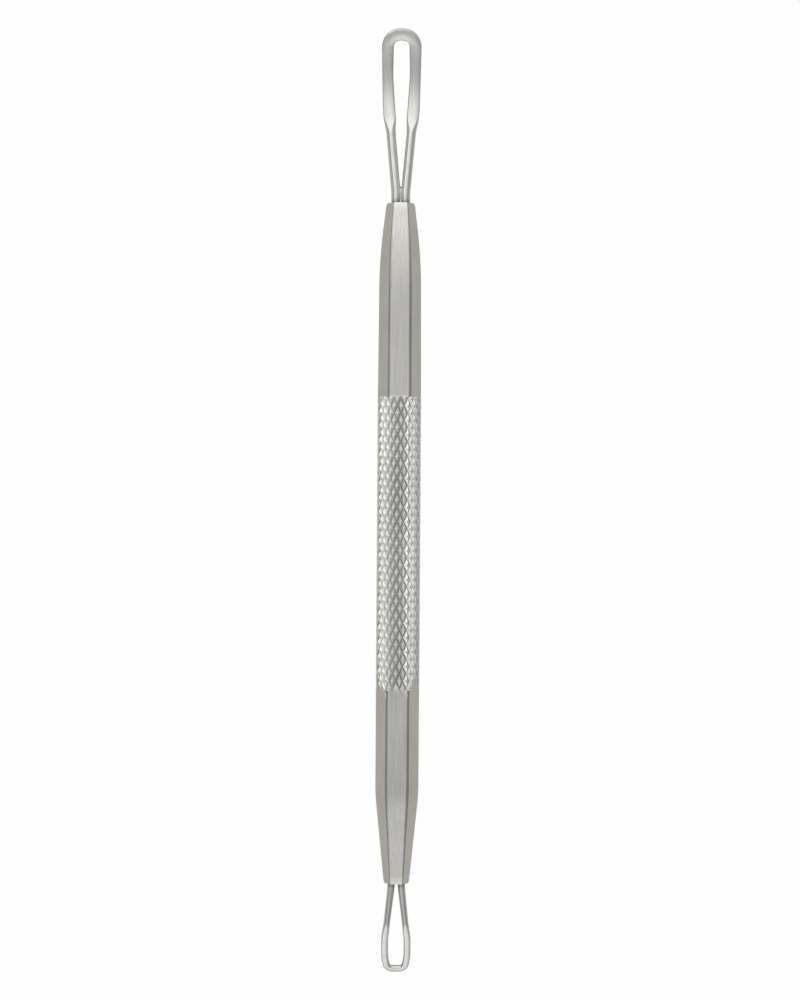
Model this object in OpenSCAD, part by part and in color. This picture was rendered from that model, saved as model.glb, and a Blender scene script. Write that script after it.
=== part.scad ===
// Blackhead extractor: a steel bar with a knurled grip and a wire loop brazed into each end.
// It lies along Y with the large loop towards +Y. Both loops dip, and Z = 0 is the part's lowest
// point, the small loop's tip. Each end is drawn along +Y from its end face, and then placed.

/* [Bar] */
// Length of the bar without the loops
bar_l = 93; // [80:0.5:120]
// Width across the flats of both shanks, beside the grip
shank_w = 5.3; // [4.8:0.05:5.6]
// How far the shanks' six corners stay inside the sharp hexagon's
shank_corner_cut = 0.09; // [0.03:0.01:0.2]
// How far the corners stay inside the sharp hexagon's at the end faces
end_corner_cut = 0.02; // [0:0.01:0.05]
// Length of the chamfer round each end face
end_chamfer_l = 0.4; // [0.2:0.05:0.8]
// Depth of the chamfer round each end face
end_chamfer_d = 0.12; // [0.05:0.01:0.2]

/* [Knurled grip] */
// Diameter over the crests of the knurl
grip_d = 6; // [5.6:0.1:7]
// Length of the grip, in the middle of the bar
grip_l = 40; // [25:1:55]
// Depth of the knurl's grooves
knurl_depth = 0.28; // [0.1:0.02:0.4]
// Starts of each hand of groove round the bar
knurl_starts = 18; // [12:3:24]
// Length of one diamond along the bar
knurl_pitch = 1.95; // [1.6:0.05:3]
// Length over which each end of the grip runs down to the shank
knurl_run = 0.3; // [0.1:0.1:1]

/* [Large end of the bar] */
// Width across the flats at the shoulder, where the large end's taper starts
large_shoulder_w = 5.15; // [4.7:0.05:5.4]
// Length of the large end's taper
large_taper_l = 12.6; // [8:0.2:18]
// Largest radius of the curve that the large end tapers in
large_taper_r = 100; // [30:5:150]
// Wall between the large bore and the flats at the end face
large_end_wall = 0.37; // [0.25:0.01:0.6]
// Depth of the large bore to its full diameter
large_bore_l = 8; // [5:0.5:14]

/* [Small end of the bar] */
// Width across the flats at the shoulder, where the small end's taper starts
small_shoulder_w = 5.28; // [4.7:0.02:5.4]
// Length of the small end's taper
small_taper_l = 13.6; // [8:0.2:18]
// Radius of the curve between the small shank and its straight taper
small_taper_r = 30; // [10:5:60]
// Wall between the small bore and the flats at the end face
small_end_wall = 0.26; // [0.2:0.02:0.6]
// Depth of the small bore to its full diameter
small_bore_l = 6; // [4:0.5:12]

/* [Large loop] */
// Diameter of the large loop's wire
large_wire_d = 1.26; // [0.9:0.02:1.4]
// Gap between the large loop's two legs inside the bar
large_leg_gap = 0.04; // [0.04:0.02:0.3]
// Length of wire loop outside the bar before it is bent
large_loop_l = 24.2; // [20:0.05:32]
// Distance from the bar to where the legs start to spread
large_spread_start = 1.4; // [1:0.1:3]
// Distance from the bar to where the legs meet the loop's long sides
large_side_start = 13.2; // [9:0.2:14]
// Outer width of the loop where its long sides start
large_side_w = 4.92; // [4.2:0.02:5.2]
// Distance from the bar to where the long sides turn parallel
large_even_start = 17.8; // [15:0.2:19]
// Outer width of the loop at its tip
large_tip_w = 5.34; // [5:0.02:6]
// Outer radius of the tip's two corners
large_corner_r = 2.45; // [1.8:0.05:2.45]
// Width of the flattened strip where it starts
large_strip_start_w = 1.7; // [1.4:0.02:1.9]
// Width of the flattened strip along the loop's parallel sides
large_strip_w = 1.54; // [1.3:0.02:1.8]
// Width of the flattened strip across the tip
large_strip_tip_w = 1.65; // [1.3:0.01:1.9]
// Thickness of the flattened strip
large_strip_t = 0.8; // [0.5:0.05:0.85]
// Distance from the bar to where the wire starts to flatten
large_flat_start = 9.6; // [8:0.2:12]
// Length over which the wire flattens
large_flat_l = 2.6; // [1.5:0.1:4]
// Dip of the legs below the bar's axis, in degrees
large_dip = 6; // [0:0.5:8]
// Distance from the bar to where the strip starts to curve up
large_spoon_start = 12.8; // [11:0.2:16]
// Turn of the strip's upward curve, in degrees
large_spoon = 20; // [0:1:24]

/* [Small loop] */
// Diameter of the small loop's wire where it leaves the bar
small_wire_d = 1; // [0.8:0.05:1.15]
// Gap between the small loop's two legs inside the bar
small_leg_gap = 0.41; // [0.1:0.01:0.5]
// Length of wire loop outside the bar before it is bent
small_loop_l = 13.5; // [10:0.05:16]
// Distance from the bar to where the legs start to spread
small_spread_start = 0.6; // [0.4:0.1:1.5]
// Distance from the bar to where the legs meet the loop's sides
small_side_start = 7.95; // [7:0.05:9]
// Outer width of the loop along its parallel sides
small_side_w = 4.05; // [3.8:0.05:4.6]
// Distance from the bar to where the sides close in towards the tip
small_close_start = 10.9; // [9.5:0.1:11.5]
// Outer width that the loop would have at its tip with sharp corners
small_tip_w = 3.4; // [3.2:0.05:3.8]
// Outer radius of the tip's two corners
small_corner_r = 1.4; // [1:0.05:1.5]
// Diameter of the wire where the legs are bent
small_neck_d = 0.88; // [0.7:0.01:0.95]
// Width of the pressed wire round the loop
small_strip_w = 0.96; // [0.8:0.01:1.1]
// Thickness of the pressed wire round the loop
small_strip_t = 0.75; // [0.5:0.05:0.8]
// Distance from the bar to the bend
small_bend_start = 5.5; // [4.5:0.1:6.5]
// Length of wire in the bend
small_bend_l = 1; // [0.6:0.1:1.5]
// Dip of the loop past the bend, in degrees
small_dip = 28; // [0:1:35]

/* [Brazing] */
// Gap that the braze fills between a bore and the wire in it
braze_gap = 0.05; // [0.03:0.01:0.1]
// Gap that the braze fills between the wire's ends and the bottom of a bore
leg_end_gap = 0.4; // [0.2:0.1:1]
// Length of the braze that runs out between the large loop's legs
braze_web_l = 2.3; // [1:0.1:3]
// Thickness of that braze at the bar's end face
braze_web_t = 0.95; // [0.5:0.05:1.1]
// Thickness of that braze where it runs out
braze_web_tip_t = 0.4; // [0.2:0.05:0.8]

/* [Hidden] */

steel = "#b4b4ae";
wire_steel = "#c4c4c0";
braze = "#a8a49a";

// Sides of a bore, and steps along each taper
bore_fn = 48;
taper_steps = 8;
// Angle of the drill point that leaves the bottom of a bore
drill_point = 118;
// Bending radius of the legs, first where they leave the bar and then at the loop's sides
leg_bend_r = 8;
side_bend_r = 20;
// Length of wire in the large legs' small bend at the end face, and of the strip's curve
large_dip_l = 1.2;
large_spoon_l = 9.5;
// How far a cut goes past the face that it leaves
cut_past = 1;
// Sides of a wire, the longest step along it, and the largest turn of one step, in degrees
wire_sides = 16;
wire_step = 0.8;
wire_turn = 10;

// Each bore holds two legs side by side
large_leg_x = (large_wire_d + large_leg_gap) / 2;
small_leg_x = (small_wire_d + small_leg_gap) / 2;
large_bore_d = 2 * large_leg_x + large_wire_d + 2 * braze_gap;
small_bore_d = 2 * small_leg_x + small_wire_d + 2 * braze_gap;
large_end_w = large_bore_d + 2 * large_end_wall;
small_end_w = small_bore_d + 2 * small_end_wall;
shank_l = (bar_l - grip_l) / 2;
large_end = [shank_w / 2, large_shoulder_w / 2, large_end_w / 2, large_taper_l, large_taper_r];
small_end = [shank_w / 2, small_shoulder_w / 2, small_end_w / 2, small_taper_l, small_taper_r];
// Points round the bar, two for each start of the knurl
around = 2 * knurl_starts;

// Where the wire leaves its round section and reaches its pressed one
large_flat_end = large_flat_start + large_flat_l;

// Bends of each loop out of its own plane, as [start, length, turn], from the bar outwards
large_bends = [
    [0, large_dip_l, -large_dip],
    [large_spoon_start, large_spoon_l, large_spoon]
];
small_bends = [[small_bend_start, small_bend_l, -small_dip]];

// Width and thickness of each wire at distances from the bar
large_widths = [
    [0, large_wire_d],
    [large_flat_start, large_wire_d],
    [large_flat_end, large_strip_start_w],
    [large_even_start, large_strip_w],
    [large_loop_l - large_corner_r, large_strip_tip_w]
];
large_thicks = [[0, large_wire_d], [large_flat_start, large_wire_d], [large_flat_end, large_strip_t]];
small_widths = [[0, small_wire_d], [small_bend_start, small_neck_d], [small_side_start, small_strip_w]];
small_thicks = [[0, small_wire_d], [small_bend_start, small_neck_d], [small_side_start, small_strip_t]];

// Middle of the wire along one side, from the bottom of the bore to the middle of the tip
large_side = rounded(
    [
        [large_leg_x, leg_end_gap - large_bore_l],
        [large_leg_x, large_spread_start],
        [(large_side_w - large_strip_w) / 2, large_side_start],
        [(large_tip_w - large_strip_w) / 2, large_even_start],
        [(large_tip_w - large_strip_w) / 2, large_loop_l - large_strip_tip_w / 2],
        [0, large_loop_l - large_strip_tip_w / 2]
    ],
    [leg_bend_r, side_bend_r, side_bend_r, large_corner_r - large_strip_w / 2]
);
small_side = rounded(
    [
        [small_leg_x, leg_end_gap - small_bore_l],
        [small_leg_x, small_spread_start],
        [(small_side_w - small_strip_w) / 2, small_side_start],
        [(small_side_w - small_strip_w) / 2, small_close_start],
        [(small_tip_w - small_strip_w) / 2, small_loop_l - small_strip_w / 2],
        [0, small_loop_l - small_strip_w / 2]
    ],
    [leg_bend_r, side_bend_r / 2, leg_bend_r, small_corner_r - small_strip_w / 2]
);

// Tip of each loop after its bends, and the lowest point of either loop
large_reach = bent([0, large_loop_l, 0], large_bends)[1];
small_reach = bent([0, small_loop_l, 0], small_bends)[1];
large_low = min([for (y = [0:0.5:large_loop_l]) bent([0, y, -lookup(y, large_thicks) / 2], large_bends)[2]]);
small_low = min([for (y = [0:0.5:small_loop_l]) bent([0, y, -lookup(y, small_thicks) / 2], small_bends)[2]]);

// The part is centred along Y, and its lowest point is at Z = 0
all_l = large_reach + bar_l + small_reach;
large_end_y = all_l / 2 - large_reach;
small_end_y = small_reach - all_l / 2;
bar_y = (large_end_y + small_end_y) / 2;
axis_z = max(grip_d / 2 * cos(180 / around), shank_w / 2, -large_low, -small_low);

function unit(v) = v / norm(v);
function turned(v, a) = [v[0] * cos(a) - v[1] * sin(a), v[0] * sin(a) + v[1] * cos(a)];

// Points from p to q without either end, one step apart, and none in the bar, where it is straight
function between(p, q) =
    let (n = ceil(norm(q - p) / wire_step))
    [for (i = [1:1:n - 1]) let (s = p + (q - p) * i / n) if (s[1] > 0) s];

// Rounded corner at point p between points before and after it, as an arc's points
function corner(before, p, after, r) =
    let (
        a = unit(before - p),
        b = unit(after - p),
        half = acos(a * b) / 2,
        centre = p + unit(a + b) * r / sin(half),
        start = p + a * r / tan(half) - centre,
        turn = (180 - 2 * half) * sign(cross(b, a)),
        n = ceil(abs(turn) / wire_turn) + 1
    )
    [for (k = [0:n]) centre + turned(start, turn * k / n)];

// A path through points whose inner corners are rounded to the radii given
function rounded(points, radii) =
    let (
        last = len(points) - 1,
        arcs = [for (i = [1:last - 1]) corner(points[i - 1], points[i], points[i + 1], radii[i - 1])],
        runs = concat([[points[0]]], arcs, [[points[last]]])
    )
    [
        for (i = [0:len(runs) - 1], p = [
            for (q = runs[i]) q,
            if (i < len(runs) - 1) for (q = between(runs[i][len(runs[i]) - 1], runs[i + 1][0])) q
        ]) p
    ];

// Point p of the unbent wire after one bend [start, length, turn]: a positive turn goes up
function bent_once(p, bend) =
    bend[2] == 0 || p[1] <= bend[0] ? p :
    let (
        inside = min(p[1] - bend[0], bend[1]),
        past = p[1] - bend[0] - inside,
        turn = bend[2] * inside / bend[1],
        r = bend[1] / (bend[2] * PI / 180)
    )
    [
        p[0],
        bend[0] + (r - p[2]) * sin(turn) + past * cos(turn),
        r - (r - p[2]) * cos(turn) + past * sin(turn)
    ];

// Point p after all bends, made from the tip back to the bar
function bent(p, bends, i = undef) =
    let (k = is_undef(i) ? len(bends) - 1 : i)
    k < 0 ? p : bent(bent_once(p, bends[k]), bends, k - 1);

// One ring of a wire at point p with direction along, of a width and a thickness
function wire_ring(p, along, w, t) = [
    for (k = [0:wire_sides - 1])
        let (
            a = (k + 0.5) * 360 / wire_sides,
            out = (w - t) / 2 * sign(cos(a)) + t / 2 * cos(a)
        )
        [p[0] + along[1] * out, p[1] - along[0] * out, t / 2 * sin(a)]
];

// A wire along path: its section follows the distance from the bar, and tip_w holds across the tip
module wire(path, widths, thicks, tip_w, bends) {
    last = len(path) - 1;
    rings = [
        for (i = [0:last])
            let (
                along = unit(path[min(i + 1, last)] - path[max(i - 1, 0)]),
                side_w = lookup(path[i][1], widths),
                w = side_w + (tip_w - side_w) * abs(along[0])^2
            )
            wire_ring(path[i], along, w, lookup(path[i][1], thicks))
    ];
    points = [for (ring = rings, p = ring) bent(p, bends)];
    walls = [
        for (i = [0:last - 1], k = [0:wire_sides - 1])
            let (
                a = i * wire_sides + k,
                b = i * wire_sides + (k + 1) % wire_sides
            )
            each [[a, b, b + wire_sides], [a, b + wire_sides, a + wire_sides]]
    ];
    ends = [
        [for (k = [wire_sides - 1:-1:0]) k],
        [for (k = [0:wire_sides - 1]) last * wire_sides + k]
    ];
    polyhedron(points, concat(walls, ends));
}

// Both sides of a loop as one path, from one end of the wire to the other
function whole(side) = concat(side, [
    for (i = [len(side) - 2:-1:0]) [-side[i][0], side[i][1]]
]);

// The start of a side alone, from the bottom of the bore to a distance from the bar
function leg(side, y) = [for (p = side) if (p[1] < y) p];

module large_wire(path) {
    wire(path, large_widths, large_thicks, large_strip_tip_w, large_bends);
}

module small_wire(path) {
    wire(path, small_widths, small_thicks, small_strip_w, small_bends);
}

// A blind bore along Y, open at Y = 0, with its drill point below its full length
module bore(d, l, past = 0) {
    rotate([90, 0, 0]) {
        translate([0, 0, -past])
            cylinder(d = d, h = l + past, $fn = bore_fn);
        translate([0, 0, l])
            cylinder(d1 = d, d2 = 0, h = d / 2 / tan(drill_point / 2), $fn = bore_fn);
    }
}

// Half the width across the flats at a distance from an end face: end is [half width at the grip,
// at the shoulder, at the end face, taper's length, largest radius of its curve]
function half_width(d, end) =
    let (
        drop = end[1] - end[2],
        r = min(end[4], (end[3]^2 + drop^2) / (2 * drop)),
        // The straight part of the taper is the tangent from the end face's edge to the curve
        turn = atan2(end[3], r - drop) - acos(min(1, r / norm([end[3], r - drop])))
    )
    d >= end[3] ? end[1] + (end[0] - end[1]) * (d - end[3]) / (shank_l - end[3]) :
    d >= end[3] - r * sin(turn) ? end[1] - r + sqrt(r^2 - (end[3] - d)^2) :
    end[2] + d * tan(turn);

// Rings of a shank from its end face to the grip, as [distance from the end face, half width, corner cut]
function shank_rings(end) = [
    [0, end[2] - end_chamfer_d, end_corner_cut],
    for (k = [0:taper_steps])
        let (d = end_chamfer_l + (end[3] - end_chamfer_l) * k / taper_steps)
        [d, half_width(d, end), end_corner_cut + (shank_corner_cut - end_corner_cut) * d / end[3]],
    [shank_l, end[0], shank_corner_cut]
];

// Points of one hexagonal ring round the bar at y: two at each corner, and the rest on the flats
function hexagon(y, half, cut) =
    let (
        corner_r = half / cos(30) - cut,
        corner_turn = 30 - acos(half / corner_r),
        side = around / 6
    )
    [
        for (k = [0:around - 1])
            let (
                from_corner = (k % side + 0.5) * 360 / around,
                turn = k % side == 0 ? corner_turn : k % side == side - 1 ? 60 - corner_turn : from_corner,
                a = floor(k / side) * 60 + turn,
                r = half / cos(turn - 30)
            )
            [r * cos(a), y, r * sin(a)]
    ];

// Points of one row of the knurl: crests and groove crossings by turns, and the other way in the next row
function knurl_row(y, row) = [
    for (k = [0:around - 1])
        let (
            a = (k + 0.5) * 360 / around,
            r = grip_d / 2 - ((row + k) % 2 == 0 ? 0 : knurl_depth)
        )
        [r * cos(a), y, r * sin(a)]
];

// The bar as one solid along Y from its middle: rings of points joined by triangles, which in the
// knurl have their long edges in the grooves of both hands
module bar() {
    half_rows = round(2 * (grip_l - 2 * knurl_run) / knurl_pitch);
    knurl_l = grip_l - 2 * knurl_run;
    small_rings = shank_rings(small_end);
    large_rings = shank_rings(large_end);
    rings = concat(
        [for (s = small_rings) hexagon(s[0] - bar_l / 2, s[1], s[2])],
        [for (row = [0:half_rows]) knurl_row(knurl_l * (row / half_rows - 0.5), row)],
        [for (i = [len(large_rings) - 1:-1:0])
            let (s = large_rings[i]) hexagon(bar_l / 2 - s[0], s[1], s[2])]
    );
    last = len(rings) - 1;
    first_row = len(small_rings);
    points = concat(
        [for (ring = rings, p = ring) p],
        [[0, -bar_l / 2, 0], [0, bar_l / 2, 0]]
    );
    walls = [
        for (i = [0:last - 1], k = [0:around - 1])
            let (
                a = i * around + k,
                b = i * around + (k + 1) % around,
                c = b + around,
                d = a + around
            )
            each (i - first_row + k) % 2 == 0 ? [[a, b, d], [c, d, b]] : [[a, b, c], [a, c, d]]
    ];
    faces_of_ends = [
        for (k = [0:around - 1])
            let (next = (k + 1) % around)
            each [
                [len(points) - 2, next, k],
                [len(points) - 1, last * around + k, last * around + next]
            ]
    ];
    polyhedron(points, concat(walls, faces_of_ends));
}

// Places of the two ends: each is drawn from its end face at Y = 0 outwards
module at_large_end() {
    translate([0, large_end_y, axis_z])
        children();
}

module at_small_end() {
    translate([0, small_end_y, axis_z])
        rotate([0, 0, 180])
            children();
}

module handle() {
    color(steel)
        difference() {
            translate([0, bar_y, axis_z])
                bar();
            at_large_end()
                bore(large_bore_d, large_bore_l, cut_past);
            at_small_end()
                bore(small_bore_d, small_bore_l, cut_past);
        }
}

module large_loop() {
    color(wire_steel)
        at_large_end()
            large_wire(whole(large_side));
}

module small_loop() {
    color(wire_steel)
        at_small_end()
            small_wire(whole(small_side));
}

// Braze that fills the bore round the legs and runs out into the crotch between them
module large_loop_braze() {
    color(braze)
        at_large_end()
            difference() {
                union() {
                    bore(large_bore_d, large_bore_l);
                    braze_web();
                }
                for (hand = [0, 1])
                    mirror([hand, 0, 0])
                        large_wire(leg(large_side, braze_web_l + 2 * wire_step));
            }
}

// Wedge between the large legs, from just inside the end face to its hollow outer edge
module braze_web() {
    rotate([90, 0, 90])
        linear_extrude(height = 2 * large_leg_x, center = true)
            polygon([
                [-leg_end_gap, -braze_web_t / 2], [0, -braze_web_t / 2],
                [braze_web_l, -braze_web_tip_t / 2], [braze_web_l, braze_web_tip_t / 2],
                [0, braze_web_t / 2], [-leg_end_gap, braze_web_t / 2]
            ]);
}

// Braze that fills the bore round the small loop's legs, level with the end face
module small_loop_braze() {
    color(braze)
        at_small_end()
            difference() {
                bore(small_bore_d, small_bore_l);
                for (hand = [0, 1])
                    mirror([hand, 0, 0])
                        small_wire(leg(small_side, small_spread_start + 2 * wire_step));
            }
}

handle();
large_loop();
small_loop();
large_loop_braze();
small_loop_braze();
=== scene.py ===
import math

import bmesh
import bpy
from mathutils import Matrix, Vector


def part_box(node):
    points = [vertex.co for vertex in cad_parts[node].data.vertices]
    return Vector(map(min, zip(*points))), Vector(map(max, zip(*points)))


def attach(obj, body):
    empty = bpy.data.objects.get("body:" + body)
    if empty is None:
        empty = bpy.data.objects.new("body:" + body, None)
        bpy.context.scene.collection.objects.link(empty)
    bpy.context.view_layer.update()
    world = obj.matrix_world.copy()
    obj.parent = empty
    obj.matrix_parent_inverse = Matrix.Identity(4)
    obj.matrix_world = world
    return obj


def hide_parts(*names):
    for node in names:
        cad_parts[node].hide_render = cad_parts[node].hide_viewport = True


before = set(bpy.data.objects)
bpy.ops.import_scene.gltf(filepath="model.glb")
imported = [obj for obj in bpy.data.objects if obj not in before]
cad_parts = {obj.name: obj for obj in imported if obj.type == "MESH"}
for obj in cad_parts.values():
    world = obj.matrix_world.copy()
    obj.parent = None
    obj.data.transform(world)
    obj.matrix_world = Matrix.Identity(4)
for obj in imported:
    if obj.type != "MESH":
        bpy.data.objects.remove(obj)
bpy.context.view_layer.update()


# The bar: one length of 6 mm stainless steel, turned, knurled, and milled at both ends to a tapered
# hexagon whose corners keep narrow turned lands. Each end face is drilled. Sizes here and in the
# sections below are in millimetres until a piece is placed on the bar's axis.
bar_low, bar_high = (corner * 1000 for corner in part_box("handle"))
large_end_y, small_end_y = bar_high.y, bar_low.y
axis_z = (bar_low.z + bar_high.z) / 2
shank_l = 26.5
shank_half = 2.65
land_cut = 0.11
end_land_cut = 0.04
land_half_angle = 4.8
soft_edge = 0.1
chamfer_l, chamfer_d = 0.4, 0.08
fillet_r, fillet_turn, fillet_steps = 0.1, 78, 6
overlap_l, overlap_d = 0.03, 0.01
outline_points = 72
drill_point = math.radians(118)
large_end = {"shoulder": 2.575, "face": 1.7, "taper": 12.6, "radius": 85, "bore": 2.66, "deep": 8}
small_end = {"shoulder": 2.64, "face": 1.515, "taper": 13.6, "radius": 30, "bore": 2.51, "deep": 6}
grip_small_y = small_end_y + shank_l
grip_large_y = large_end_y - shank_l
across_bar = Matrix.Rotation(math.pi / 2, 4, "X")


def half_width(d, end):
    """Half the width across the flats, d mm from an end face."""
    drop = end["shoulder"] - end["face"]
    r = min(end["radius"], (end["taper"] ** 2 + drop ** 2) / (2 * drop))
    turn = math.atan2(end["taper"], r - drop)
    turn -= math.acos(min(1, r / math.hypot(end["taper"], r - drop)))
    if d >= end["taper"]:
        along = (d - end["taper"]) / (shank_l - end["taper"])
        return end["shoulder"] + (shank_half - end["shoulder"]) * along
    if d >= end["taper"] - r * math.sin(turn):
        return end["shoulder"] - r + math.sqrt(r ** 2 - (end["taper"] - d) ** 2)
    return end["face"] + d * math.tan(turn)


def hexagon(half, cut):
    """Points round a hexagon with soft edges, whose corners stay cut mm inside sharp ones."""
    corner = half / math.cos(math.pi / 6) - cut
    edge = math.acos(half / corner)
    soft = min(soft_edge, 0.6 * corner * (math.pi / 6 - edge))
    flat = half * math.tan(edge)
    on_land = edge + soft / corner
    land = (corner * math.sin(on_land), corner * math.cos(on_land))
    mid = (0.25 * (flat - soft) + 0.5 * flat + 0.25 * land[0], 0.75 * half + 0.25 * land[1])
    side = [land, mid]
    side += [((flat - soft) * t, half) for t in (1, 0.66, 0.33, 0, -0.33, -0.66, -1)]
    side += [(-mid[0], mid[1]), (-land[0], land[1])]
    side.append((-corner / 2, corner * math.cos(math.pi / 6)))
    points = []
    for k in range(6):
        c, s = math.cos(k * math.pi / 3), math.sin(k * math.pi / 3)
        points += [(x * c - z * s, x * s + z * c) for x, z in side]
    return points


def put_ring(ring, y, points):
    """Moves a ring of vertices to points in the plane at y, in their order round the bar's axis."""
    ring = sorted(ring, key=lambda v: math.atan2(v.co.z, v.co.x))
    for v, (x, z) in zip(ring, sorted(points, key=lambda p: math.atan2(p[1], p[0]))):
        v.co = (x, y, z)


def extruded(bm, loop):
    """Extrudes a closed loop of edges in place. Gives the new ring of vertices and the new loop."""
    grown = bmesh.ops.extrude_edge_only(bm, edges=loop)["geom"]
    ring = [g for g in grown if isinstance(g, bmesh.types.BMVert)]
    edges = [g for g in grown if isinstance(g, bmesh.types.BMEdge)]
    return ring, [e for e in edges if all(v in ring for v in e.verts)]


def drilled(bm, rim, end, face_y, out):
    """Extrudes a rim inwards to a bore's wall, and closes it with the drill's point."""
    r = end["bore"] / 2
    for deep, radius in ((end["deep"], r), (end["deep"] + r / math.tan(drill_point / 2), 0)):
        wall, rim = extruded(bm, rim)
        for v in wall:
            around = Vector((v.co.x, 0, v.co.z)).normalized() * radius
            v.co = (around.x, face_y - out * deep, around.z)
    bmesh.ops.remove_doubles(bm, verts=bm.verts, dist=0.0005)


def milled_end(end, face_y, out, filleted):
    """One hexagonal end with its blind bore. Out is the way its end face looks along Y."""
    bm = bmesh.new()
    ring = bmesh.ops.create_circle(
        bm, segments=outline_points, radius=1, matrix=across_bar)["verts"]
    stations = [(0, end["face"] - chamfer_d, end_land_cut)]
    steps = 18
    for k in range(steps + 1):
        d = chamfer_l + (end["taper"] - chamfer_l) * k / steps
        cut = end_land_cut + (land_cut - end_land_cut) * d / end["taper"]
        stations.append((d, half_width(d, end), cut))
    turned_r = shank_half / math.cos(math.pi / 6) - land_cut
    if filleted:
        for k in range(fillet_steps + 1):
            turn = math.radians(fillet_turn * k / fillet_steps)
            half = shank_half + fillet_r * (1 - math.cos(turn))
            cut = half / math.cos(math.pi / 6) - turned_r
            stations.append((shank_l - fillet_r * (1 - math.sin(turn)), half, cut))
    else:
        stations.append((shank_l, shank_half, shank_half / math.cos(math.pi / 6) - turned_r))
    stations.append((shank_l + overlap_l, stations[-1][1] - overlap_d, stations[-1][2] + overlap_d))
    loop = list(bm.edges)
    first = list(ring)
    for i, (d, half, cut) in enumerate(stations):
        if i:
            ring, loop = extruded(bm, loop)
        put_ring(ring, face_y - out * d, hexagon(half, cut))
    # Faces on the corner lands take the third finish, the darker steel of painted shade
    for f in bm.faces:
        middle = f.calc_center_median()
        if abs(math.degrees(math.atan2(middle.x, middle.z)) % 60 - 30) < land_half_angle:
            f.material_index = 2
    bmesh.ops.contextual_create(bm, geom=loop)

    # The bore starts from its mouth in the end face. At the large end some faces of this bridge lie
    # across the mouth, which they don't with end_land_cut at 0.02.
    mouth = bmesh.ops.create_circle(
        bm, segments=outline_points, radius=end["bore"] / 2,
        matrix=Matrix.Translation((0, face_y, 0)) @ across_bar)["verts"]
    rim = [e for e in bm.edges if all(v in mouth for v in e.verts)]
    face_edges = [e for e in bm.edges if all(v in first for v in e.verts)]
    bmesh.ops.bridge_loops(bm, edges=rim + face_edges)
    drilled(bm, rim, end, face_y, out)
    bmesh.ops.recalc_face_normals(bm, faces=bm.faces)
    return bm


def as_object(bm, name):
    """A finished bmesh as an object of the scene."""
    mesh = bpy.data.meshes.new(name)
    bm.to_mesh(mesh)
    bm.free()
    piece = bpy.data.objects.new(name, mesh)
    bpy.context.scene.collection.objects.link(piece)
    return piece


def joined(piece, other, operation):
    """Cuts or joins a piece's solid with another one, which is used up."""
    step = piece.modifiers.new("step", "BOOLEAN")
    step.operation = operation
    step.object = other
    step.solver = "EXACT"
    old = piece.data
    done = piece.evaluated_get(bpy.context.evaluated_depsgraph_get())
    mesh = bpy.data.meshes.new_from_object(done)
    piece.modifiers.clear()
    piece.data = mesh
    bpy.data.meshes.remove(old)
    bpy.data.objects.remove(other)


def placed(piece, y, turn=0):
    """Turns a piece that was made in millimetres about Z, and puts it at y on the bar's axis."""
    piece.data.transform(
        Matrix.Translation((0, y / 1000, axis_z / 1000)) @ Matrix.Rotation(turn, 4, "Z")
        @ Matrix.Scale(0.001, 4))
    for polygon in piece.data.polygons:
        polygon.use_smooth = True


# Knurl: a grid of grooves, 18 of each hand, is wrapped round the bar. The diamonds between them
# rise to worn crests, and at the small end they run on into the shank.
starts, rows, diamond_l = 18, 24, 1.97
crest_r, groove_depth = 3.0, 0.28
groove_r = crest_r - groove_depth
crest_inset, crest_wear = 0.28, 0.05
knurl_run = 1.3
knurl = bmesh.new()
bmesh.ops.create_grid(knurl, x_segments=starts, y_segments=rows, size=0.5)
centres = set(bmesh.ops.poke(knurl, faces=knurl.faces)["verts"])
low_u = min(v.co.x for v in knurl.verts)
span_u = max(v.co.x for v in knurl.verts) - low_u
span_v = 2 * max(v.co.y for v in knurl.verts)
grip_y = (grip_small_y + grip_large_y) / 2
for v in knurl.verts:
    a = 2 * math.pi * ((v.co.x - low_u) / span_u + 0.25 / starts)
    y = grip_y + v.co.y / span_v * rows * diamond_l
    v.co = (groove_r * math.sin(a), y, groove_r * math.cos(a))
bmesh.ops.remove_doubles(knurl, verts=knurl.verts, dist=0.001)
plain = [
    e for e in knurl.edges if not any(v in centres for v in e.verts) and len(e.link_faces) == 2]
bmesh.ops.dissolve_edges(knurl, edges=plain, use_verts=False)
bmesh.ops.recalc_face_normals(knurl, faces=knurl.faces)
diamonds = [f for f in knurl.faces if len(f.verts) == 4]
bmesh.ops.inset_individual(
    knurl, faces=diamonds, thickness=crest_inset, depth=groove_depth, use_even_offset=True)
crests = list({e for f in diamonds for e in f.edges})
bmesh.ops.bevel(
    knurl, geom=crests, offset=crest_wear, offset_type="OFFSET", affect="EDGES", segments=2,
    profile=0.5, material=-1)
for y, way in ((grip_small_y - knurl_run, -1), (grip_large_y, 1)):
    cut = bmesh.ops.bisect_plane(
        knurl, geom=knurl.verts[:] + knurl.edges[:] + knurl.faces[:], dist=0.0005,
        plane_co=(0, y, 0), plane_no=(0, way, 0), clear_outer=True)["geom_cut"]
    bmesh.ops.contextual_create(knurl, geom=[g for g in cut if isinstance(g, bmesh.types.BMEdge)])
bmesh.ops.recalc_face_normals(knurl, faces=knurl.faces)

# Its finishes come in this order: the ground flats, the knurl, the turned lands, whose steel is a
# darker copy of the flats' steel, as painted shade
handle = as_object(knurl, "handle_bar")
for finish in range(3):
    handle.data.materials.append(None)
for polygon in handle.data.polygons:
    polygon.material_index = 1

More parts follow.
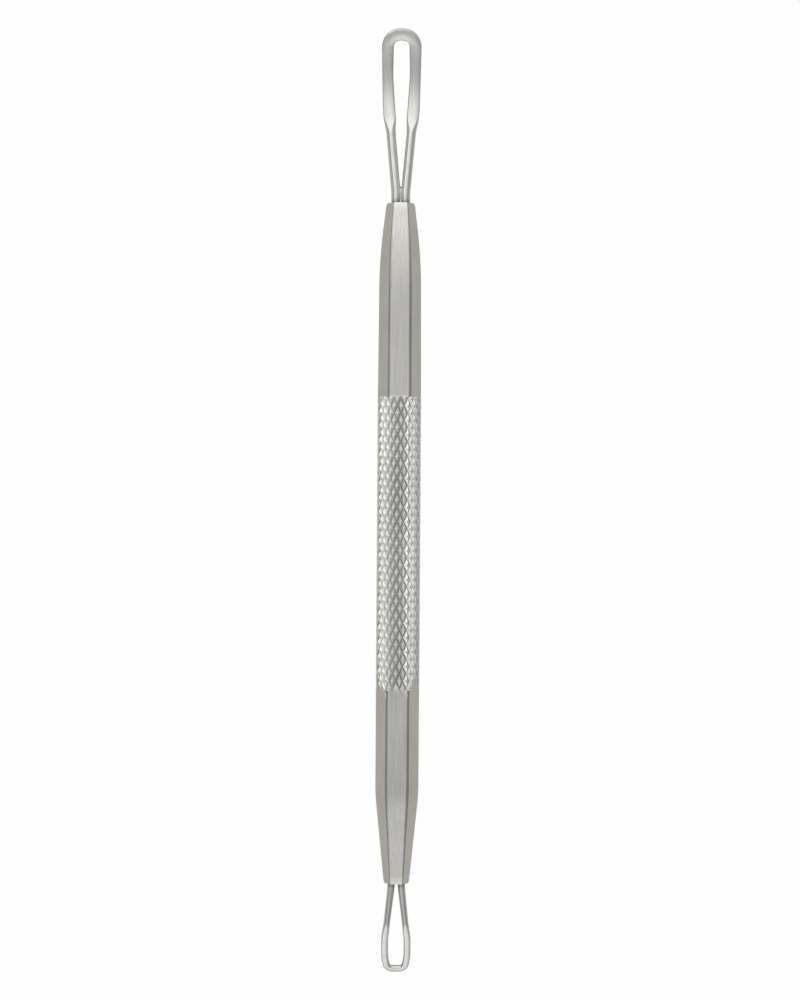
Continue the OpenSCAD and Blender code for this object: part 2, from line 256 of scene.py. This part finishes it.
# At the small end the milling cutter lifts slowly, so the diamonds fade out, on each flat at its
# own place. At the large end it stops against the knurl and leaves a small fillet.
flats = bmesh.new()
cutter_r = 8
flat_run = [-1.02, -0.97, -0.47, -0.77, -0.27, -0.17]
flat_half = shank_half - 0.003
clear_half = shank_half + 1.6
lift_start, lift_l, lift_steps = -1.1, 0.4, 13
stations = [(grip_small_y - 1.5, [flat_half] * 6)]
for k in range(lift_steps):
    y = grip_small_y + lift_start + lift_l * k
    lifted = [max(0, y - grip_small_y - run) ** 2 / (2 * cutter_r) for run in flat_run]
    stations.append((y, [flat_half + lift for lift in lifted]))
stations.append((grip_small_y + 5, [clear_half] * 6))
stations.append((grip_large_y + 1, [clear_half] * 6))
ring = bmesh.ops.create_circle(
    flats, segments=6, radius=1, cap_ends=True, matrix=across_bar)["verts"]
loop = list(flats.edges)
for i, (y, halves) in enumerate(stations):
    if i:
        ring, loop = extruded(flats, loop)
    corners = []
    for k in range(6):
        a, b = halves[k], halves[(k + 1) % 6]
        along = (b - a * math.cos(math.pi / 3)) / math.sin(math.pi / 3)
        turn = math.pi / 2 + k * math.pi / 3
        c, s = math.cos(turn), math.sin(turn)
        corners.append((a * c - along * s, a * s + along * c))
    put_ring(ring, y, corners)
bmesh.ops.contextual_create(flats, geom=loop)
bmesh.ops.recalc_face_normals(flats, faces=flats.faces)
joined(handle, as_object(flats, "flats"), "INTERSECT")
joined(handle, as_object(milled_end(small_end, small_end_y, -1, False), "small_shank"), "UNION")
joined(handle, as_object(milled_end(large_end, large_end_y, 1, True), "large_shank"), "UNION")
placed(handle, 0)
bar_edge = math.radians(28)
handle.data.set_sharp_from_angle(angle=bar_edge)
weighted = handle.modifiers.new("even_shading", "WEIGHTED_NORMAL")
weighted.keep_sharp = True


def steel(name, colour, roughness, lines, depth):
    """Stainless steel ground along Y: fine lines in tone, gloss and relief, over soft blotches.

    A higher number of lines makes them finer. Their depth is in metres.
    """
    material = bpy.data.materials.new(name)
    material.use_nodes = True
    nodes, links = material.node_tree.nodes, material.node_tree.links
    shader = nodes["Principled BSDF"]
    shader.inputs["Metallic"].default_value = 1
    place = nodes.new("ShaderNodeTexCoord")
    stretch = nodes.new("ShaderNodeMapping")
    stretch.inputs["Scale"].default_value = (lines, lines / 60, lines)
    fine = nodes.new("ShaderNodeTexNoise")
    fine.inputs["Scale"].default_value = 1
    fine.inputs["Detail"].default_value = 4
    fine.inputs["Roughness"].default_value = 0.6
    links.new(place.outputs["Object"], stretch.inputs["Vector"])
    links.new(stretch.outputs["Vector"], fine.inputs["Vector"])
    broad = nodes.new("ShaderNodeTexNoise")
    broad.inputs["Scale"].default_value = 220
    broad.inputs["Detail"].default_value = 3
    links.new(place.outputs["Object"], broad.inputs["Vector"])
    tones = nodes.new("ShaderNodeValToRGB")
    tones.color_ramp.elements[0].position = 0.3
    tones.color_ramp.elements[0].color = (*[c * 0.86 for c in colour], 1)
    tones.color_ramp.elements[1].position = 0.7
    tones.color_ramp.elements[1].color = (*[min(1, c * 1.08) for c in colour], 1)
    links.new(fine.outputs["Fac"], tones.inputs["Fac"])
    blotch = nodes.new("ShaderNodeMix")
    blotch.data_type = "RGBA"
    blotch.blend_type = "MULTIPLY"
    blotch.inputs["Factor"].default_value = 0.5
    shade = nodes.new("ShaderNodeMapRange")
    shade.inputs["From Min"].default_value = 0.3
    shade.inputs["From Max"].default_value = 0.7
    shade.inputs["To Min"].default_value = 0.88
    shade.inputs["To Max"].default_value = 1.06
    links.new(broad.outputs["Fac"], shade.inputs["Value"])
    links.new(tones.outputs["Color"], blotch.inputs["A"])
    links.new(shade.outputs["Result"], blotch.inputs["B"])
    links.new(blotch.outputs["Result"], shader.inputs["Base Color"])
    gloss = nodes.new("ShaderNodeMapRange")
    gloss.inputs["To Min"].default_value = roughness * 0.8
    gloss.inputs["To Max"].default_value = roughness * 1.2
    links.new(fine.outputs["Fac"], gloss.inputs["Value"])
    links.new(gloss.outputs["Result"], shader.inputs["Roughness"])
    relief = nodes.new("ShaderNodeBump")
    relief.inputs["Strength"].default_value = 1
    relief.inputs["Distance"].default_value = depth
    links.new(fine.outputs["Fac"], relief.inputs["Height"])
    links.new(relief.outputs["Normal"], shader.inputs["Normal"])
    return material


bar_steel = steel("ground_bar_steel", (0.65, 0.645, 0.625), 0.24, 9000, 0.000004)
# The knurl's steel is a brighter copy of the bar's steel, as painted highlight
knurl_painted_light_steel = steel("rolled_knurl_painted_light_steel", (0.91, 0.905, 0.88), 0.25, 3000, 0.000006)


def shaded(material, level):
    """Multiplies a finish's colour by a level, such as painted shade in a knurl's grooves."""
    nodes, links = material.node_tree.nodes, material.node_tree.links
    colour = nodes["Principled BSDF"].inputs["Base Color"]
    tint = nodes.new("ShaderNodeMix")
    tint.data_type = "RGBA"
    tint.blend_type = "MULTIPLY"
    tint.inputs["Factor"].default_value = 1
    links.new(colour.links[0].from_socket, tint.inputs["A"])
    links.new(level, tint.inputs["B"])
    links.new(tint.outputs["Result"], colour)


# Painted shade and highlight: the knurl's colour is darkened in the grooves and brightened on the
# crests, by their distance from the bar's axis
nodes, links = knurl_painted_light_steel.node_tree.nodes, knurl_painted_light_steel.node_tree.links
place = nodes.new("ShaderNodeTexCoord")
around_axis = nodes.new("ShaderNodeMapping")
around_axis.inputs["Location"].default_value = (0, 0, -axis_z / 1000)
around_axis.inputs["Scale"].default_value = (1, 0, 1)
off_axis = nodes.new("ShaderNodeVectorMath")
off_axis.operation = "LENGTH"
groove_shade_crest_highlight = nodes.new("ShaderNodeMapRange")
painted_light_margin, groove_painted_shade, crest_painted_highlight = 0.03, 0.6, 1.08
groove_shade_crest_highlight.inputs["From Min"].default_value = (groove_r + painted_light_margin) / 1000
groove_shade_crest_highlight.inputs["From Max"].default_value = (crest_r - painted_light_margin) / 1000
groove_shade_crest_highlight.inputs["To Min"].default_value = groove_painted_shade
groove_shade_crest_highlight.inputs["To Max"].default_value = crest_painted_highlight
links.new(place.outputs["Object"], around_axis.inputs["Vector"])
links.new(around_axis.outputs["Vector"], off_axis.inputs[0])
links.new(off_axis.outputs["Value"], groove_shade_crest_highlight.inputs["Value"])
shaded(knurl_painted_light_steel, groove_shade_crest_highlight.outputs["Result"])
handle.data.materials[0] = bar_steel
handle.data.materials[1] = knurl_painted_light_steel
# The lands' steel is the bar's steel made darker, as painted shade along the corners
handle.data.materials[2] = steel("land_steel_painted_shade", (0.52, 0.515, 0.5), 0.24, 9000, 0.000004)
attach(handle, "root")
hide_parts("handle")


# The large loop: stainless wire 1.26 mm thick, bent to a long loop. Its outer part is pressed to a
# flat strip that curves up a little, and its two legs stand in the bar's large bore.
def rounded(points, radii, step):
    """A path through points, with arcs of the given radii at its inner corners, in short steps."""
    points = [Vector(p) for p in points]
    path = [points[0]]
    for before, p, after, r in zip(points, points[1:], points[2:], radii):
        a, b = (before - p).normalized(), (after - p).normalized()
        half = a.angle(b) / 2
        middle = p + (a + b).normalized() * r / math.sin(half)
        start = p + a * r / math.tan(half) - middle
        turn = (math.pi - 2 * half) * math.copysign(1, b.x * a.y - b.y * a.x)
        count = max(2, math.ceil(abs(turn) * r / step), math.ceil(math.degrees(abs(turn)) / 6))
        path += [middle + Matrix.Rotation(turn * k / count, 2) @ start for k in range(count + 1)]
    path.append(points[-1])
    fine = [path[0]]
    for p, q in zip(path, path[1:]):
        count = max(1, math.ceil((q - p).length / step))
        fine += [p.lerp(q, k / count) for k in range(1, count + 1)]
    return fine


def bent(p, bends):
    """A point of the flat loop after its bends, each (start, length, degrees up)."""
    x, y, z = p
    for start, length, degrees in reversed(bends):
        if y > start:
            inside = min(y - start, length)
            past = y - start - inside
            turn = math.radians(degrees) * inside / length
            r = length / math.radians(degrees)
            c, s = math.cos(turn), math.sin(turn)
            y, z = start + (r - z) * s + past * c, r - (r - z) * c + past * s
    return Vector((x, y, z))


def between(y, table):
    """A size at y from a table of (y, size) rows, eased from row to row."""
    for (y0, a), (y1, b) in zip(table, table[1:]):
        if y <= y1:
            t = max(0, (y - y0) / (y1 - y0))
            return a + (b - a) * t * t * (3 - 2 * t)
    return table[-1][1]


def wire_loop(side, widths, thicks, tip_w, flatness, bends):
    """A wire along both sides of a loop, its section round or pressed by its distance from the bar.

    Flatness says how far the flat of a pressed section reaches into its rounded edges.
    """
    path = side + [Vector((-p.x, p.y)) for p in reversed(side[:-1])]
    sides = 32
    bm = bmesh.new()
    ring = bmesh.ops.create_circle(bm, segments=sides, radius=1, cap_ends=True)["verts"]
    loop = list(bm.edges)
    for i, p in enumerate(path):
        if i:
            fresh, loop = extruded(bm, loop)
            ring = [
                next(e.other_vert(v) for e in v.link_edges if e.other_vert(v) in fresh)
                for v in ring]
        along = (path[min(i + 1, len(path) - 1)] - path[max(i - 1, 0)]).normalized()
        w = between(p.y, widths)
        w += (tip_w - w) * along.x ** 2
        t = between(p.y, thicks)
        for k, v in enumerate(ring):
            a = 2 * math.pi * (k + 0.5) / sides
            edge = t / 2 - flatness * (w - t)
            out = (w / 2 - edge) * math.copysign(1, math.cos(a)) + edge * math.cos(a)
            v.co = bent((p.x + along.y * out, p.y - along.x * out, t / 2 * math.sin(a)), bends)
    bmesh.ops.contextual_create(bm, geom=loop)
    bmesh.ops.recalc_face_normals(bm, faces=bm.faces)
    return bm


# One side of the loop, from the inside of the bore to the tip. Here and in the rows of widths and
# thicknesses, distances along Y are from the end face.
large_leg_x, large_leg_l = 0.65, 7.6
large_side = rounded(
    [(large_leg_x, -large_leg_l), (large_leg_x, 1.4), (1.69, 13.2), (1.9, 17.8), (1.9, 23.355),
     (0, 23.355)],
    [8, 20, 20, 1.68], 0.4)
large_bends = [(0, 1.2, -6), (12.8, 9.5, 20)]
large_w = [(-8, 1.26), (9.6, 1.26), (12.2, 1.7), (17.8, 1.54), (21.75, 1.65)]
large_t = [(-8, 1.26), (9.6, 1.26), (12.2, 0.8), (13, 0.8)]
large_tip_w, large_flatness = 1.65, 0.24
large = wire_loop(large_side, large_w, large_t, large_tip_w, large_flatness, large_bends)
large_loop = as_object(large, "large_wire_loop")
placed(large_loop, large_end_y)
wire_steel = steel("drawn_wire_steel", (0.68, 0.675, 0.655), 0.2, 7000, 0.000003)

# Brazing leaves the legs dull where they come out of the bar, and this darkening of their colour
# there also stands in for the bar's shade on them, as painted shade
flux_and_painted_shade_start, flux_and_painted_shade_end, flux_and_painted_shade_level = 0.08, 0.7, 0.5
nodes, links = wire_steel.node_tree.nodes, wire_steel.node_tree.links
place = nodes.new("ShaderNodeTexCoord")
from_middle = nodes.new("ShaderNodeMapping")
from_middle.inputs["Location"].default_value = (0, -(large_end_y + small_end_y) / 2000, 0)
from_middle.inputs["Scale"].default_value = (0, 1, 0)
distance = nodes.new("ShaderNodeVectorMath")
distance.operation = "LENGTH"
flux_and_painted_shade = nodes.new("ShaderNodeMapRange")
bar_half_l = (large_end_y - small_end_y) / 2
flux_and_painted_shade.inputs["From Min"].default_value = (bar_half_l + flux_and_painted_shade_start) / 1000
flux_and_painted_shade.inputs["From Max"].default_value = (bar_half_l + flux_and_painted_shade_end) / 1000
flux_and_painted_shade.inputs["To Min"].default_value = flux_and_painted_shade_level
flux_and_painted_shade.inputs["To Max"].default_value = 1
links.new(place.outputs["Object"], from_middle.inputs["Vector"])
links.new(from_middle.outputs["Vector"], distance.inputs[0])
links.new(distance.outputs["Value"], flux_and_painted_shade.inputs["Value"])
shaded(wire_steel, flux_and_painted_shade.outputs["Result"])
large_loop.data.materials.append(wire_steel)
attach(large_loop, "root")
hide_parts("large_loop")


# The small loop: 1 mm stainless wire, pressed thinner past a sharp bend, with its two legs apart
# in the bar's small bore.
small_leg_x, small_leg_l = 0.705, 5.6
small_side = rounded(
    [(small_leg_x, -small_leg_l), (small_leg_x, 0.6), (1.545, 7.95), (1.545, 10.9), (1.22, 13.015),
     (0, 13.015)],
    [8, 10, 8, 0.92], 0.3)
small_bends = [(5.7, 0.6, -28)]
small_w = [(-6, 1), (0, 1), (5.5, 0.88), (7, 0.96), (8, 0.96)]
small_t = [(-6, 1), (0, 1), (5.5, 0.88), (7, 0.745), (8, 0.745)]
small_tip_w, small_flatness = 0.96, 0
small = wire_loop(small_side, small_w, small_t, small_tip_w, small_flatness, small_bends)
small_loop = as_object(small, "small_wire_loop")
placed(small_loop, small_end_y, math.pi)
small_loop.data.materials.append(wire_steel)
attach(small_loop, "root")
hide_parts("small_loop")


# The large loop's braze: silver brazing metal, melted in round the legs. It fills the large bore to
# its mouth, and runs out as a web along the valleys between the two legs.
def plug(end):
    """The filling of one bore, from its drill point to a slightly sunken face at its mouth."""
    bm = bmesh.new()
    bmesh.ops.create_circle(
        bm, segments=48, radius=end["bore"] / 2, cap_ends=True, matrix=across_bar)
    face = bm.faces[:]
    rim_w, sunk = 0.12, 0.06
    bmesh.ops.inset_region(bm, faces=face, thickness=rim_w, depth=0, use_even_offset=True)
    bmesh.ops.translate(bm, verts=list({v for f in face for v in f.verts}), vec=(0, -sunk, 0))
    drilled(bm, [e for e in bm.edges if e.is_boundary], end, 0, 1)
    return bm


filling = plug(large_end)
web_points, web_sag, valley_half = 20, 0.16, 0.42
ring = bmesh.ops.create_circle(
    filling, segments=2 * web_points, radius=1, cap_ends=True, matrix=across_bar)["verts"]
loop = [e for e in filling.edges if all(v in ring for v in e.verts)]

# The web's thickness, by its distance from the end face
web = [
    (-0.5, 1.0), (0, 0.96), (0.5, 0.9), (1.0, 0.84), (1.5, 0.74), (1.9, 0.6), (2.15, 0.44),
    (2.3, 0.24)]
for i, (y, thick) in enumerate(web):
    if i:
        ring, loop = extruded(filling, loop)
    points = []
    for k in range(web_points):
        x = large_leg_x * (2 * (k + 0.5) / web_points - 1)
        sag = web_sag * thick * (1 - min(1, abs(x) / valley_half) ** 2)
        points += [(x, thick / 2 - sag), (x, sag - thick / 2)]
    put_ring(ring, y, points)
    for v in ring:
        v.co = bent(v.co, large_bends)
bmesh.ops.contextual_create(filling, geom=loop)
bmesh.ops.recalc_face_normals(filling, faces=filling.faces)
large_braze = as_object(filling, "large_braze")
placed(large_braze, large_end_y)
braze_edge = math.radians(40)
large_braze.data.set_sharp_from_angle(angle=braze_edge)
braze = bpy.data.materials.new("silver_braze")
braze.use_nodes = True
nodes, links = braze.node_tree.nodes, braze.node_tree.links
shader = nodes["Principled BSDF"]
shader.inputs["Metallic"].default_value = 1
place = nodes.new("ShaderNodeTexCoord")
mottle = nodes.new("ShaderNodeTexNoise")
mottle.inputs["Scale"].default_value = 3500
mottle.inputs["Detail"].default_value = 4
links.new(place.outputs["Object"], mottle.inputs["Vector"])
tones = nodes.new("ShaderNodeValToRGB")
tones.color_ramp.elements[0].position = 0.35
tones.color_ramp.elements[0].color = (0.36, 0.345, 0.32, 1)
tones.color_ramp.elements[1].position = 0.65
tones.color_ramp.elements[1].color = (0.66, 0.64, 0.6, 1)
links.new(mottle.outputs["Fac"], tones.inputs["Fac"])
links.new(tones.outputs["Color"], shader.inputs["Base Color"])
shader.inputs["Roughness"].default_value = 0.42
relief = nodes.new("ShaderNodeBump")
relief.inputs["Distance"].default_value = 0.00003
links.new(mottle.outputs["Fac"], relief.inputs["Height"])
links.new(relief.outputs["Normal"], shader.inputs["Normal"])
large_braze.data.materials.append(braze)
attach(large_braze, "root")
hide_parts("large_loop_braze")


# The small loop's braze: the same metal, melted in round the thinner legs. It fills the small bore
# and stops a little below the end face.
filling = plug(small_end)
bmesh.ops.recalc_face_normals(filling, faces=filling.faces)
small_braze = as_object(filling, "small_braze")
placed(small_braze, small_end_y, math.pi)
small_braze.data.set_sharp_from_angle(angle=braze_edge)
small_braze.data.materials.append(braze)
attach(small_braze, "root")
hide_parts("small_loop_braze")


# Studio: a pale paper floor, a soft sky that is dim above and to the sides, and bright towards both
# ends of the tool and in a narrow window on its left, and a camera straight above.
table = bmesh.new()
bmesh.ops.create_circle(table, cap_ends=True, segments=96, radius=1.5)
floor = as_object(table, "floor")

# The camera sees the paper almost white, polished steel a part of that white, and all else sees it
# as matt paper, so the tool's shadow stays faint
paper_colour = (0.635, 0.61, 0.55, 1)
white_seen, white_mirrored = 0.98, 0.15
paper = bpy.data.materials.new("white_paper")
paper.use_nodes = True
nodes, links = paper.node_tree.nodes, paper.node_tree.links
nodes.clear()
result = nodes.new("ShaderNodeOutputMaterial")
seen = nodes.new("ShaderNodeLightPath")
matt = nodes.new("ShaderNodeBsdfDiffuse")
matt.inputs["Color"].default_value = paper_colour
white = nodes.new("ShaderNodeEmission")
share = nodes.new("ShaderNodeMath")
share.operation = "MULTIPLY_ADD"
share.inputs[1].default_value = white_mirrored
keep = nodes.new("ShaderNodeMath")
keep.operation = "MULTIPLY"
keep.inputs[1].default_value = white_seen
blend = nodes.new("ShaderNodeMixShader")
straight = nodes.new("ShaderNodeMath")
links.new(seen.outputs["Is Camera Ray"], straight.inputs[0])
links.new(seen.outputs["Is Transmission Ray"], straight.inputs[1])
links.new(straight.outputs["Value"], keep.inputs[0])
links.new(seen.outputs["Is Glossy Ray"], share.inputs[0])
links.new(keep.outputs["Value"], share.inputs[2])
links.new(share.outputs["Value"], blend.inputs["Fac"])
links.new(matt.outputs["BSDF"], blend.inputs[1])
links.new(white.outputs["Emission"], blend.inputs[2])
links.new(blend.outputs["Shader"], result.inputs["Surface"])
floor.data.materials.append(paper)

world = bpy.data.worlds.new("studio")
bpy.context.scene.world = world
world.use_nodes = True
nodes, links = world.node_tree.nodes, world.node_tree.links
nodes.clear()
result = nodes.new("ShaderNodeOutputWorld")
look = nodes.new("ShaderNodeTexCoord")
parts = nodes.new("ShaderNodeSeparateXYZ")
links.new(look.outputs["Generated"], parts.inputs["Vector"])
brightest = 2
sky_strength, clear_mirrored = 0.76, 0.16


def sky_levels(source, stops):
    """A level of light by one part of the direction looked in, as (part, level) stops."""
    ramp = nodes.new("ShaderNodeValToRGB")
    elements = ramp.color_ramp.elements
    while len(elements) < len(stops):
        elements.new(0.5)
    for element, (part, level) in zip(elements, stops):
        element.position = part
        element.color = (*[level / brightest] * 3, 1)
    links.new(source, ramp.inputs["Fac"])
    return ramp.outputs["Color"]


# From the small end, at 0, over the zenith to the large end, at 1
towards = nodes.new("ShaderNodeMapRange")
towards.inputs["From Min"].default_value = -1
links.new(parts.outputs["Y"], towards.inputs["Value"])
along = sky_levels(towards.outputs["Result"], [
    (0, 0.8), (0.03, 1.3), (0.06, 1.55), (0.2, 1.5), (0.33, 1.17), (0.355, 0.86), (0.42, 0.71),
    (0.465, 0.71), (0.53, 0.85), (0.605, 1.28), (0.645, 1.53), (0.68, 1.72), (0.75, 2), (0.95, 2),
    (1, 1.5)])

# From the left, at 0, over the zenith to the right, at 1
sideways = nodes.new("ShaderNodeMapRange")
sideways.inputs["From Min"].default_value = -1
links.new(parts.outputs["X"], sideways.inputs["Value"])
across = sky_levels(sideways.outputs["Result"], [
    (0, 1), (0.008, 0.85), (0.03, 0.42), (0.065, 0.28), (0.12, 0.28), (0.16, 0.5), (0.195, 1.5),
    (0.22, 1.7), (0.25, 1.3), (0.3, 0.8), (0.4, 0.95), (0.57, 0.97), (0.7, 0.62), (0.85, 0.36),
    (0.935, 0.33), (0.975, 0.33), (0.992, 0.5), (1, 0.6)])
sky = nodes.new("ShaderNodeMath")
sky.operation = "MULTIPLY"
links.new(along, sky.inputs[0])
links.new(across, sky.inputs[1])
level = nodes.new("ShaderNodeMath")
level.operation = "MULTIPLY"
level.inputs[1].default_value = sky_strength * brightest ** 2
links.new(sky.outputs["Value"], level.inputs[0])
soft = nodes.new("ShaderNodeBackground")
soft.inputs["Color"].default_value = (1, 1, 1, 1)
links.new(level.outputs["Value"], soft.inputs["Strength"])

# The camera sees the sky clear white, and polished steel sees a part of it so
clean = nodes.new("ShaderNodeBackground")
clean.inputs["Color"].default_value = (1, 1, 1, 1)
rays = nodes.new("ShaderNodeLightPath")
straight = nodes.new("ShaderNodeMath")
links.new(rays.outputs["Is Camera Ray"], straight.inputs[0])
links.new(rays.outputs["Is Transmission Ray"], straight.inputs[1])
mirrored = nodes.new("ShaderNodeMath")
mirrored.operation = "MULTIPLY_ADD"
mirrored.inputs[1].default_value = clear_mirrored
links.new(rays.outputs["Is Glossy Ray"], mirrored.inputs[0])
links.new(straight.outputs["Value"], mirrored.inputs[2])
choose = nodes.new("ShaderNodeMixShader")
links.new(mirrored.outputs["Value"], choose.inputs["Fac"])
links.new(soft.outputs["Background"], choose.inputs[1])
links.new(clean.outputs["Background"], choose.inputs[2])
links.new(choose.outputs["Shader"], result.inputs["Surface"])

# The tool lies a fraction of a degree off the picture's upright and a fraction of a millimetre off
# its middle
camera_up, camera_turn = 0.39, 0.38
view = bpy.data.cameras.new("camera")
camera = bpy.data.objects.new("camera", view)
bpy.context.scene.collection.objects.link(camera)
camera.location = (0.00017, 0.00024, axis_z / 1000 + camera_up)
camera.rotation_euler = (0, 0, math.radians(camera_turn))
view.sensor_fit = "VERTICAL"
view.sensor_height = 24
view.lens = 68.4
view.clip_start = 0.01
bpy.context.scene.camera = camera
bpy.context.scene.view_settings.view_transform = "Standard"
